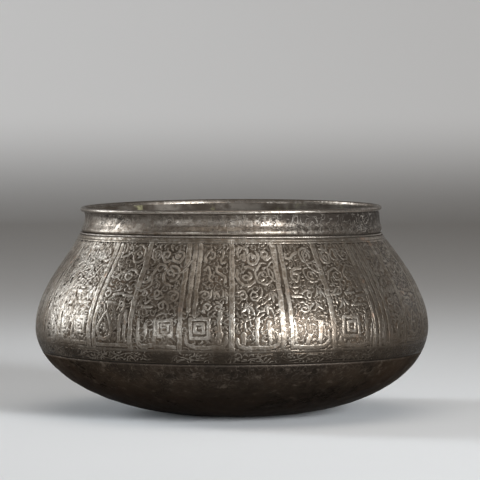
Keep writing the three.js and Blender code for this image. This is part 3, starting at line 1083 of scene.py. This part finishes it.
# Darker in the corner over the moulding, and painted shade under the lip.
dark[face_rows] += 1 - smooth(1.5, 2.6, up_face) + 0.9 * smooth(0.5, 0.85, up_face / up_face[-1])
# Painted light on the lip's front, and painted shade on its back.
bright[roll_first:roll_last] = 0.1 + 0.3 * smooth(-0.2, 0.6, -np.sin(turn))
dark[roll_first:roll_last] = 0.85 * smooth(0.0, 0.5, np.sin(turn)) * (1 - smooth(0.3, 0.7, np.cos(turn)))
lined[face_rows] = clear * worn_away
for name, values in (("cuts_and_shade", dark), ("edge", bright), ("band", lined)):
    set_values(neck, name, values)
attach(neck, "root")
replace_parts(neck, "neck_collar")


def wire_ring(name, centre, size, count, columns, finish, node, pressed=0.0, notches=0):
    """A ring of round wire. With notches it is milled: its outer side is pressed in along slanted lines."""
    angle, turn = ring_turns(count).T, ring_turns(columns)
    press = pressed * (0.5 - 0.5 * np.cos(notches * turn + 2 * angle)) ** 2 * smooth(-0.2, 0.6, np.cos(angle))
    radius = centre[0] + (size - press) * np.cos(angle)
    height = centre[1] + (size - press) * np.sin(angle)
    ring = new_ring(name, radius, turn, height, [finish])
    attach(ring, "root")
    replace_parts(ring, node)
    return ring


# Lip wire
# An iron wire lies in the lip's roll and stiffens it. It shows only through the slit under the roll.
iron = Finish("dark_iron", (0.0688, 0.0625, 0.0575))
rust = iron.patches(150.0, 0.5, 0.1, 2.0)
iron.coat((0.112, 0.0525, 0.025), rust)
iron.vary("Roughness", 0.5, (rust, 0.35))
wire_ring("lip_wire", lip_centre, wire_radius, 10, 360, iron, "rim_wire")

# Seam moulding
# A fine milled wire lies on the shoulder's top edge against the neck, where it covers the seam.
moulding_pitch = 1.15
moulding_sides = 12
notch_depth = 0.16
notch_count = round(2 * math.pi * moulding_centre[0] / moulding_pitch)
moulding_columns = notch_count * 6
moulding = wire_ring(
    "seam_moulding", moulding_centre, moulding_radius, moulding_sides, moulding_columns, neck_tin,
    "neck_moulding", notch_depth, notch_count,
)
for name, value in (("cuts_and_shade", 0.0), ("band", 0.0), ("edge", 0.35)):
    set_values(moulding, name, np.full(moulding_sides * moulding_columns, value))

# Neck solder
# A thinner run of tin solder lies inside, under the neck's lower edge.
neck_leg = 0.9
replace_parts(solder_run("neck_solder_run", outline_length - neck_lap, -1, neck_leg, 22), "neck_solder")

# Floor and light
# A plain pale sweep carries the bowl. Soft boxes stand to the right of the lens and far round to both
# sides. A weak one fills from the left, and one lights from over the bowl.
floor_grey = (0.67, 0.655, 0.64)
sweep_front = -4.0
sweep_depth = 2.6
wall_glow = 0.3  # how much paler the wall looks to the camera and in the metal than the lamps leave it
sweep_height = 1.6
sweep_bend = 0.5
sweep_width = 5.0
bowl_middle = 0.07  # its height in metres


def sweep_mesh():
    """A flat floor, a quarter circle and an upright wall behind, as one open sheet."""
    bend = np.linspace(0, math.pi / 2, 24)
    back = sweep_depth + sweep_bend
    deep = np.concatenate([[sweep_front], sweep_depth + sweep_bend * np.sin(bend), [back]])
    high = np.concatenate([[0.0], sweep_bend * (1 - np.cos(bend)), [sweep_height + sweep_bend]])
    across = np.array([-sweep_width, sweep_width])[None, :]
    return np.stack(np.broadcast_arrays(across, deep[:, None], high[:, None]), axis=-1) / MM


# Pale sweep: so matt that no lamp glares on the floor.
pale = Finish("pale_sweep", floor_grey, metallic=0.0, glint=0.0)
pale.shader["Roughness"].default_value = 0.9
ray = add(pale.tree, "ShaderNodeLightPath").outputs
seen = sums(pale.tree, "MAXIMUM", ray["Is Camera Ray"], ray["Is Glossy Ray"])
on_wall = pale.product(seen, pale.total(1.0, (pale.below(0.0, 0.15, 0.0), -1.0)))
pale.vary("Emission Color", on_wall)
pale.shader["Emission Strength"].default_value = wall_glow
grid = sweep_mesh()
floor = new_piece("sweep", grid, [ring_faces(len(grid), 2, closed_rows=False, closed_columns=False)], [pale])


def soft_box(name, azimuth, elevation, distance, width, height, power, spread, colour):
    """A rectangular lamp that faces the bowl's middle. Azimuth 0 is the camera's side, and the right is
    positive. The spread, in degrees, is narrow where the light would glare on the floor near the lamp."""
    lamp = bpy.data.lights.new(name, "AREA")
    lamp.color = colour
    lamp.shape = "RECTANGLE"
    lamp.size, lamp.size_y = width, height
    lamp.energy = power
    lamp.spread = math.radians(spread)
    box = bpy.data.objects.new(name, lamp)
    box.visible_camera = False
    bpy.context.scene.collection.objects.link(box)
    across, up = math.radians(azimuth), math.radians(elevation)
    box.location = (
        distance * math.cos(up) * math.sin(across),
        -distance * math.cos(up) * math.cos(across),
        distance * math.sin(up) + bowl_middle,
    )
    box.rotation_euler = (math.pi / 2 - up, 0, across)


cool_white = (0.84, 0.92, 1.0)
soft_box("right_box", 37, 12, 2.4, 0.82, 1.02, 12.4, 55, (0.87, 0.935, 1.0))
soft_box("right_edge_box", 134, 16, 2.2, 0.5, 1.2, 0.45, 55, cool_white)
soft_box("left_box", -107, 18, 2.2, 0.62, 1.5, 5.3, 55, cool_white)
soft_box("left_fill", -36, 6, 2.6, 1.3, 0.5, 1.9, 55, cool_white)
soft_box("top_box", 12, 72, 1.6, 1.6, 1.2, 6.6, 180, (1.0, 0.96, 0.91))

studio = bpy.data.worlds.new("studio")
bpy.context.scene.world = studio
studio.use_nodes = True
tree = studio.node_tree
way = add(tree, "ShaderNodeTexCoord").outputs["Generated"]
up = add(tree, "ShaderNodeSeparateXYZ", {0: way}).outputs["Z"]
tree.links.new(soft_step(tree, up, 0.0, 0.9, 0.064, 0.21), tree.nodes["Background"].inputs["Strength"])
tree.nodes["Background"].inputs["Color"].default_value = (1.0, 0.955, 0.90, 1)

bpy.context.scene.view_settings.view_transform = "Standard"
